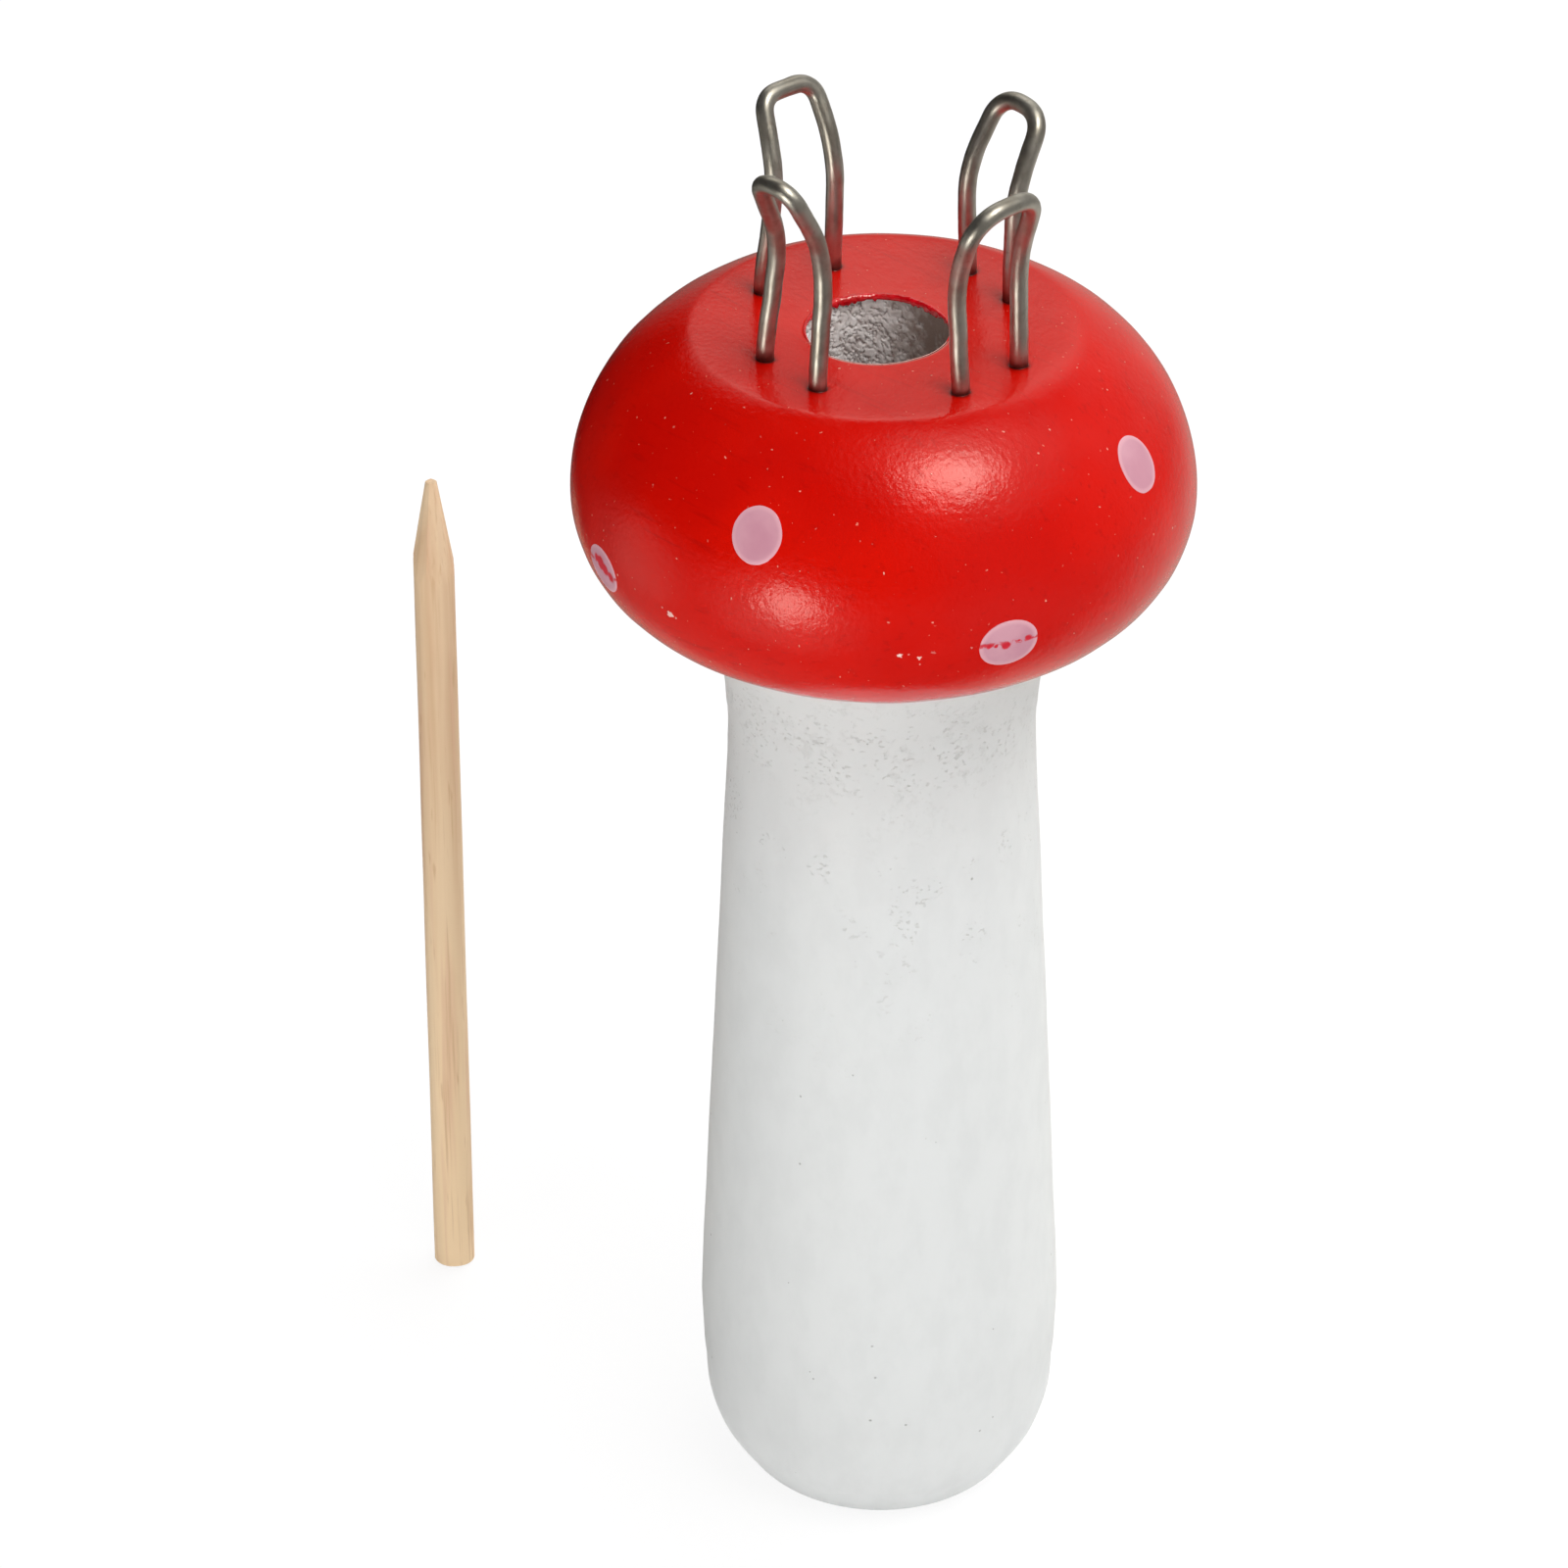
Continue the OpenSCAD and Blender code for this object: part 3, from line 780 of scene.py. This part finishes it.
def build_loop(name, one, material):
    step, sides, crown_soft, knee_soft, knee_reach = 0.2, 20, 0.35, 1.6, 3.5
    base = dish_z(one["set_r"])
    corners = loop_corners(one, -1) + loop_corners(one, 1)[::-1]
    bends = [0, KNEE_R, KNEE_R, one["crown_r"], one["crown_r"], KNEE_R, KNEE_R, 0]
    path = even_steps(rounded_path(corners, bends), step)
    # The knees are bent gently and the crown more sharply
    knee = np.exp(-((path[:, 2] - base - one["knee_h"]) / knee_reach) ** 2)[:, None]
    path = (1 - knee) * smoothed(path, step, crown_soft) + knee * smoothed(path, step, knee_soft)
    free = unit((path[:, 2] - CAP_TOP_Z) / 3)
    for k in range(3):
        path[:, k] += 0.03 * wander(path, 4.0, 2, 3 + 5 * k) * free
    tangent = np.gradient(path, axis=0)
    tangent /= np.linalg.norm(tangent, axis=1)[:, None]
    across = np.cross(tangent[0], (1.0, 0.0, 0.0))
    across /= np.linalg.norm(across)
    verts = []
    for p, t in zip(path, tangent):
        across = across - t * (across @ t)
        across /= np.linalg.norm(across)
        beside = np.cross(t, across)
        verts += [p + WIRE_R * (across * math.cos(a) + beside * math.sin(a)) for a in turns(sides)]
    verts, middle = np.array(verts), np.repeat(path, sides, axis=0)
    verts = middle + (verts - middle) * (1 + 0.015 * wander(verts, 1.2, 2, 6))[:, None]
    verts, faces = closed_tube(verts, sides, path[0], path[-1])
    # Each leg is dark where it enters the cap, with painted shade that fades up the leg
    over = verts[:, 2] - base + 0.25 * wander(verts, 0.8, 2, 12)
    foot = 0.85 * unit(1.25 - over / 0.9)
    add_piece(name + "_wire", verts, faces, material, "nancy", [name], 60, {"foot": foot})


def build_collars(material):
    """The dark bead of glue and lacquer where each leg of wire enters the cap."""
    cols, ring, bead, sunk = 36, 10, 0.05, 0.02
    verts, faces = [], []
    for n, leg in enumerate(leg_places()):
        base = len(verts)
        for t in turns(ring):
            for a in turns(cols):
                lump = noise.noise(Vector((math.cos(a) * 1.3 + 7 * n, math.sin(a) * 1.3, 0.3 * n)))
                thick = bead + 0.02 * lump
                r = WIRE_R + 0.02 + 0.03 * lump + thick * math.cos(t)
                x, y = leg[0] + r * math.cos(a), leg[1] + r * math.sin(a)
                verts.append((x, y, dish_z(math.hypot(x, y)) - sunk + thick * 0.9 * math.sin(t)))
        faces += [tuple(base + i for i in f) for f in grid_faces(ring, cols, True)]
    add_piece("wire_collars", verts, faces, material, "nancy")


def cap_lift(points, way):
    """How far from each point along a direction the cap's surface lies."""
    farthest, halvings = 40.0, 40
    low, high = np.zeros(len(points)), np.full(len(points), farthest)
    for _ in range(halvings):
        middle = (low + high) / 2
        p = points + way * middle[:, None]
        r, up = np.hypot(p[:, 0], p[:, 1]), p[:, 2] - CAP_MID_Z
        inside = np.where(up >= 0, np.hypot(np.maximum(r - UPPER_C, 0), up) < CAP_UPPER_R,
                          np.hypot(np.maximum(r - LOWER_C, 0), up) < CAP_LOWER_R)
        low, high = np.where(inside, middle, low), np.where(inside, high, middle)
    return low


def patch(azimuth, height, radius, thick, rings, cols, ragged, seed, stretch=1.0):
    """A thin film on the cap's side, round a direction and a height above the widest line.

    Gives its points, faces and how near each point is to its edge."""
    a = math.radians(azimuth)
    centre_r, body_r = (UPPER_C, CAP_UPPER_R) if height >= 0 else (LOWER_C, CAP_LOWER_R)
    tilt = math.asin(height / body_r)
    out = np.array((math.cos(a) * math.cos(tilt), math.sin(a) * math.cos(tilt), math.sin(tilt)))
    along = np.array((-math.sin(a), math.cos(a), 0.0))
    up = np.cross(out, along)
    core = np.array((centre_r * math.cos(a), centre_r * math.sin(a), CAP_MID_Z))
    turn = turns(cols)
    circle = np.column_stack([np.cos(turn), np.sin(turn), 0 * turn])
    wave = 1 + ragged * wander(circle * 1.7, 1.0, 3, seed)
    x, y = radius * stretch * wave * np.cos(turn), radius * wave * np.sin(turn)
    # Share of the radius and rise over the cap of each ring, thinner at the edge and ending inside the cap
    buried = -0.6
    layers = [(k / rings, 1.0 - 0.25 * max(0.0, k / rings - 0.93) / 0.07) for k in range(1, rings + 1)]
    layers += [(1.012, 0.55), (1.015, buried)]
    ring_starts = [core + share * (np.outer(x, along) + np.outer(y, up)) for share, _ in layers]
    ring_edges = [[min(1.0, max(0.0, (share - 0.86) / 0.1))] * cols for share, _ in layers]
    starts = np.concatenate([core[None], *ring_starts, core[None]])
    rises = np.concatenate([[1.0], *([rise] * cols for _, rise in layers), [buried]])
    edges = np.concatenate([[0.0], *ring_edges, [0.0]])
    points = starts + np.outer(cap_lift(starts, out) + thick * rises, out)
    last = 1 + (len(layers) - 1) * cols
    faces = [(0, 1 + j, 1 + (j + 1) % cols) for j in range(cols)]
    faces += [tuple(1 + i for i in reversed(f)) for f in grid_faces(len(layers), cols, False)]
    faces += [(len(points) - 1, last + (j + 1) % cols, last + j) for j in range(cols)]
    return points, faces, edges


def gather(parts):
    """Several parts of points, faces and values as one."""
    points, faces, values = [], [], []
    for p, f, v in parts:
        base = sum(len(q) for q in points)
        faces += [tuple(base + i for i in face) for face in f]
        points.append(p)
        values.append(v)
    return np.concatenate(points), faces, np.concatenate(values)


# Painted by hand, so each spot is a little off its place and not quite round
SPOT_UP = (-0.1, 0, 0.1, -0.2, -0.52, 0.42, 0.3, -0.3)
SPOT_ASIDE = (-0.9, 0, 1, -1, 0.3, 1.5, -1, 1)
SPOT_SIZE = (0.83, 0.91, 0.98, 1.03, 1.0, 1.03, 1.0, 0.97)
SPOT_WIDE = (1.18, 1.16, 1.0, 0.97, 0.89, 0.87, 1.03, 0.98)


def build_spots(material):
    thick, rings, cols, ragged = 0.06, 12, 72, 0.012
    heights = [LOW_ROW_H] * len(LOW_ROW_AT) + [HIGH_ROW_H] * len(HIGH_ROW_AT)
    points, faces, edges = gather(
        patch(azimuth + SPOT_ASIDE[k], heights[k] + SPOT_UP[k], SPOT_R * SPOT_SIZE[k], thick, rings, cols, ragged,
              3 * k, SPOT_WIDE[k])
        for k, azimuth in enumerate(LOW_ROW_AT + HIGH_ROW_AT))
    add_piece("painted_spots", points, faces, material, "nancy", ["cap_spots"], values={"edge": edges})


# Direction, height above the widest line, radius, stretch and paleness of each chip in the lacquer
CHIPS = [(-86.3, -1.25, 0.30, 1.25, 1.0), (-85.0, -1.35, 0.09, 1.0, 0.5), (-88.2, -0.9, 0.08, 1.3, 0.3),
         (-42.0, -1.13, 0.18, 1.2, 0.95), (-40.4, -1.0, 0.09, 1.2, 0.3), (-38.5, -1.45, 0.15, 1.4, 0.8),
         (-36.0, -0.96, 0.13, 1.7, 0.25), (-29.1, -0.9, 0.09, 1.1, 0.35), (4.6, 3.2, 0.13, 1.0, 0.9),
         (118, -1.1, 0.25, 1.4, 0.9), (121, -1.3, 0.12, 1.1, 0.4), (205, -1.0, 0.2, 1.3, 0.8)]


def build_chips(material):
    thick, rings, cols, ragged, first_seed = 0.03, 3, 22, 0.45, 40
    parts = []
    for k, (azimuth, height, radius, stretch, paleness) in enumerate(CHIPS):
        points, faces, edges = patch(azimuth, height, radius, thick, rings, cols, ragged, first_seed + k, stretch)
        parts.append((points, faces, paleness * (1 - 0.6 * edges)))
    points, faces, pale = gather(parts)
    add_piece("paint_chips", points, faces, material, "nancy", values={"pale": pale})


def build_needle(material):
    """A stick sawn and sanded by hand, with a point cut in flats, a blunt tip and an end not quite square."""
    cols, flats, taper, bend, chamfer, slant, slant_h = 64, 9, 0.045, 0.06, 0.965, 0.10, 6
    heights = np.concatenate([[0.0, 0.05], np.linspace(0.2, 78.0, 108), np.linspace(78.3, 82.6, 30),
                              np.linspace(83.0, NEEDLE_L - 0.1, 24), [NEEDLE_L]])
    # Direction of each flat of the point, and how it differs from the rest
    cuts = [(t + 0.25 * math.sin(5 * t), 0.13 * math.sin(7 * t + 1)) for t in turns(flats)]
    lean, front = from_photo(0.66, 0.0, 0), from_photo(0, -1, 0)
    verts = []
    for z in heights:
        bow = bend * math.sin(math.pi * z / NEEDLE_L)
        body = NEEDLE_R * (1.004 - taper * z / NEEDLE_L)
        for t in turns(cols):
            r = body * (1 + 0.010 * math.cos(2 * t + 0.6) + 0.008 * math.cos(5 * t + z * 0.02))
            r += 0.025 * noise.fractal(Vector((math.cos(t) * 1.5, math.sin(t) * 1.5, z / 14)), 1.0, 2.0, 2)
            r *= chamfer if z == 0 else 1.0
            # Each flat of the point is a plane that leans in towards the tip
            for at, extra in cuts:
                slope = (body - POINT_R) / (POINT_L + 1.0 + extra * 3)
                reach = POINT_R * 0.96 + slope * (NEEDLE_L - z) + extra * 0.12
                facing = math.cos(t - at)
                if facing > 0.2 and r * facing > reach:
                    r = max(0.05, reach / facing)
            x, y = r * math.cos(t), r * math.sin(t)
            askew = (front.x * x + front.y * y + body) * slant * max(0.0, 1 - z / slant_h)
            k = (z + askew) / NEEDLE_L
            verts.append((NEEDLE_AT[0] + lean.x * k + bow * 0.7 + x, NEEDLE_AT[1] + lean.y * k - bow * 0.7 + y,
                          z + askew))
    verts = np.array(verts)
    verts, faces = closed_tube(verts, cols, verts[:cols].mean(axis=0), verts[-cols:].mean(axis=0))
    add_piece("needle_stick", verts, faces, material, "needle", ["needle"], 18)


# Stage: floor, cards that the gloss shows, lamps and world

FLOOR_HALF, FLOOR_WHITE = 2.0, 1.07
# Near the object the floor keeps the shadow, and further off it is plain white
SHADOW_NEAR, SHADOW_FAR, WHITE_NEAR = 0.12, 0.5, 0.82


def add_floor():
    h = FLOOR_HALF
    mesh = bpy.data.meshes.new("floor")
    mesh.from_pydata([(-h, -h, 0), (h, -h, 0), (h, h, 0), (-h, h, 0)], [], [(0, 1, 2, 3)])
    material, n = new_material("floor")
    tone = n.mix(n.grain(3, 2), (0.80, 0.80, 0.80, 1), (0.84, 0.84, 0.84, 1))
    matte = n.make("BsdfDiffuse", {"Color": tone})
    white = n.make("Emission", {"Color": (1, 1, 1, 1), "Strength": FLOOR_WHITE})
    away = n.measure("LENGTH", n.at)
    share = n.times(n.seen_rays(), n.between(away, SHADOW_NEAR, SHADOW_FAR, WHITE_NEAR, 1.0))
    n.end(n.make("MixShader", {0: share, 1: matte.outputs[0], 2: white.outputs[0]}))
    mesh.materials.append(material)
    floor = add_object("floor", mesh)


# What the gloss sees: strength, azimuth, elevation, and the angles within which it is full and beyond which it is gone
CARD_LIGHTS = [
    (10.3, 44, 60, 3, 17),
    (0.78, 60, 62, 4, 40),
    (1.1, 66, 72, 3, 20),
    (8.0, -31, -10, 2, 13),
    (0.9, -33, -14, 5, 31),
    (0.74, 168, 46, 5, 25),
    (0.92, -163, 46, 5, 22),
    (0.44, 163, 6, 2, 45),
    (0.70, 122, -48, 5, 45),
    (0.35, -157, -54, 8, 34),
    (0.36, -91, -17, 3, 19),
    (0.25, -79, -38, 6, 50),
    (0.06, 10, 15, 12, 54),
    (0.22, 75, 15, 35, 70),
    (0.11, 20, -55, 12, 56),
]
CARD_GREY, CARD_TINT = 0.005, (1.0, 0.96, 0.85, 1)
# How far off the cards stand, their least height over the floor, and the angle from one point to the next
CARD_AWAY, CARD_OVER_FLOOR, CARD_STEP, CARD_LOWEST = 0.5, 0.003, 6, -78


def lobes(n, direction, base, lights):
    """Soft lights in a surround: an even strength and more round some directions."""
    total = base
    for strength, azimuth, elevation, full, gone in lights:
        facing = n.measure("DOT_PRODUCT", direction, sky(azimuth, elevation))
        gone, full = math.cos(math.radians(gone)), math.cos(math.radians(full))
        total = n.math("ADD", n.between(facing, gone, full, 0, strength), total)
    return total


def add_cards():
    centre = Vector((0, 0, CAP_MID_Z * MM))
    azimuths, elevations = np.arange(-180, 180, CARD_STEP), np.arange(CARD_LOWEST, 91, CARD_STEP)
    verts = []
    for elevation in elevations:
        for azimuth in azimuths:
            way, reach = sky(azimuth, elevation), CARD_AWAY
            if centre.z + way.z * reach < CARD_OVER_FLOOR:
                reach = (CARD_OVER_FLOOR - centre.z) / way.z
            verts.append(tuple(way * reach))
    mesh = bpy.data.meshes.new("studio_cards")
    mesh.from_pydata(verts, [], grid_faces(len(elevations), len(azimuths), False))
    material, n = new_material("studio_cards")
    direction = n.make("VectorMath", {0: n.at}, operation="NORMALIZE").outputs[0]
    strength = lobes(n, direction, CARD_GREY, CARD_LIGHTS)
    n.end(n.make("Emission", {"Color": CARD_TINT, "Strength": strength}))
    material.cycles.emission_sampling = "NONE"
    mesh.materials.append(material)
    cards = add_object("studio_cards", mesh)
    cards.location = centre
    cards.visible_camera = cards.visible_diffuse = False
    cards.visible_shadow = cards.visible_volume_scatter = False


# Name, azimuth, elevation, distance, size and power of each lamp
LAMPS = [
    ("key", 46, 60, 0.85, 0.6, 3.8),
    ("fill", -25, 12, 0.9, 0.7, 0.8),
    ("front", 0, 18, 0.8, 0.5, 0.6),
    ("front_low", 8, -4, 0.6, 0.6, 0.62),
    ("left_low", -46, -10, 0.6, 0.4, 1.4),
    ("right_low", 60, -8, 0.6, 0.4, 0.3),
]


def add_lamp(name, azimuth, elevation, distance, size, power):
    data = bpy.data.lights.new(name, "AREA")
    data.shape, data.size, data.energy = "DISK", size, power
    lamp = add_object(name, data)
    way = sky(azimuth, elevation)
    lamp.location = Vector((0, 0, CAP_MID_Z * MM)) + way * distance
    lamp.rotation_euler = way.to_track_quat("Z", "Y").to_euler()
    # The lamps light and the cards are what the gloss shows
    lamp.visible_glossy = False
    data.cycles.use_multiple_importance_sampling = False


# What lights the object from all round: an even part and broad lights, written as those of the cards
AMBIENT = 0.02
AMBIENT_LIGHTS = [(1.9, 138, 28, 5, 60), (0.32, 0, 88, 10, 80)]


def add_world():
    world = bpy.data.worlds.new("studio")
    scene.world = world
    world.use_nodes = True
    n = Nodes(world.node_tree, "Generated")
    around = lobes(n, n.at, AMBIENT, AMBIENT_LIGHTS)
    strength = n.make("MapRange", {"Value": n.seen_rays(), "To Min": around, "To Max": 1.0}).outputs[0]
    n.end(n.make("Background", {"Color": (1, 1, 1, 1), "Strength": strength}), "OutputWorld")


add_camera()
add_floor()
add_cards()
add_world()
for lamp_values in LAMPS:
    add_lamp(*lamp_values)

build_cap(red_lacquer())
build_lip(wet_lacquer())
build_bore_wall(rough_bore())
build_stem(white_paint())
wire = steel_wire()
for loop_name, loop in LOOPS.items():
    build_loop(loop_name, loop, wire)
build_collars(dark_collar())
build_spots(spot_paint())
build_chips(chipped_paint())
build_needle(bare_wood())

scene.view_settings.view_transform = "Standard"
